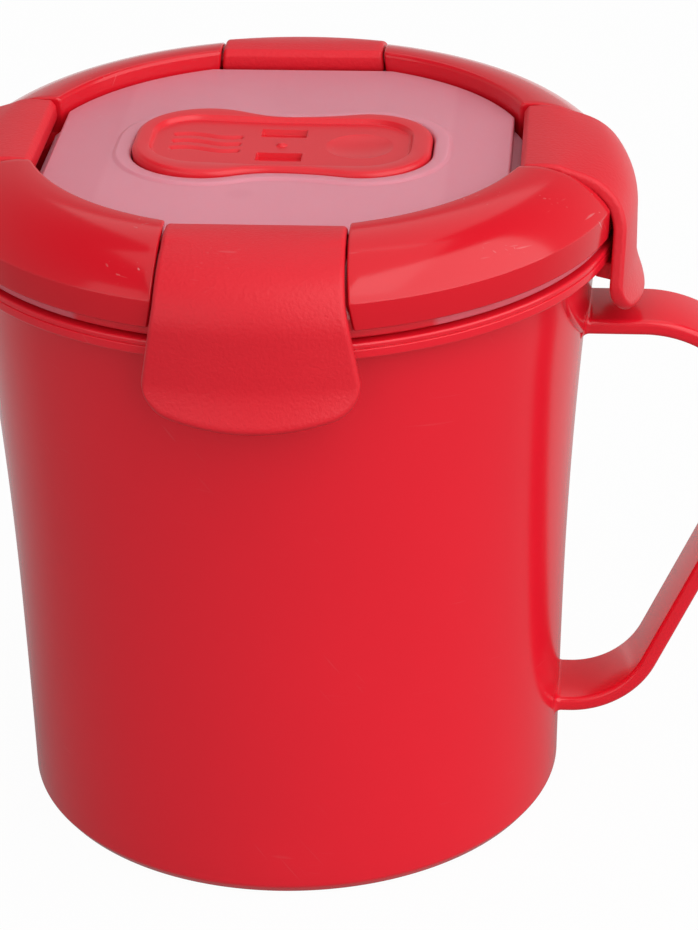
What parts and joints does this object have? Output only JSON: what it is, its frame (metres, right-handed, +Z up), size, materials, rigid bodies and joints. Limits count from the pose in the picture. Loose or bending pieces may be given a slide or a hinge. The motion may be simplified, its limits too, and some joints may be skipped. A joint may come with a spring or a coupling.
{
  "type": "soup mug",
  "caption": "Round microwave soup mug with an ear handle and a lift-off lid that hinged side clips hold down, with a rocking steam vent in the lid.",
  "frame": {"origin": "centre of the foot, on the plane that the mug stands on", "axes": "+Z up along the cup's axis, +X towards the handle, -Y towards the front clip of the picture"},
  "size_m": [0.137, 0.116, 0.1148],
  "materials": {
    "cup_red": "semi-gloss moulded polypropylene",
    "frosted_plate": "translucent frosted polypropylene",
    "seal_silicone": "soft moulded silicone",
    "ring_red": "polished moulded polypropylene",
    "clip_red": "fine spark-textured polypropylene",
    "vent_red": "satin moulded polypropylene"
  },
  "bodies": {
    "cup": {"mug": "cup_red"},
    "lid": {"lid_plate": "frosted_plate", "lid_seal": "seal_silicone", "lid_ring": "ring_red"},
    "front_clip": {"clip_front": "clip_red"},
    "right_clip": {"clip_right": "clip_red"},
    "back_clip": {"clip_back": "clip_red"},
    "left_clip": {"clip_left": "clip_red"},
    "vent": {"vent_flap": "vent_red"}
  },
  "joints": [
    {"name": "lid_lift", "type": "slide", "parent": "cup", "child": "lid", "axis": [0, 0, 1], "range_m": [0, 0.06]},
    {"name": "front_clip_hinge", "type": "hinge", "parent": "lid", "child": "front_clip", "pos_m": [0, -0.0408, 0.1121], "axis": [-1, 0, 0], "range_deg": [-3, 110]},
    {"name": "right_clip_hinge", "type": "hinge", "parent": "lid", "child": "right_clip", "pos_m": [0.0408, 0, 0.1121], "axis": [0, -1, 0], "range_deg": [-3, 110]},
    {"name": "back_clip_hinge", "type": "hinge", "parent": "lid", "child": "back_clip", "pos_m": [0, 0.0408, 0.1121], "axis": [1, 0, 0], "range_deg": [-3, 110]},
    {"name": "left_clip_hinge", "type": "hinge", "parent": "lid", "child": "left_clip", "pos_m": [-0.0408, 0, 0.1121], "axis": [0, 1, 0], "range_deg": [-3, 110]},
    {"name": "vent_rock", "type": "hinge", "parent": "lid", "child": "vent", "pos_m": [0, 0, 0.10932], "axis": [0, 1, 0], "range_deg": [0, 10]}
  ]
}
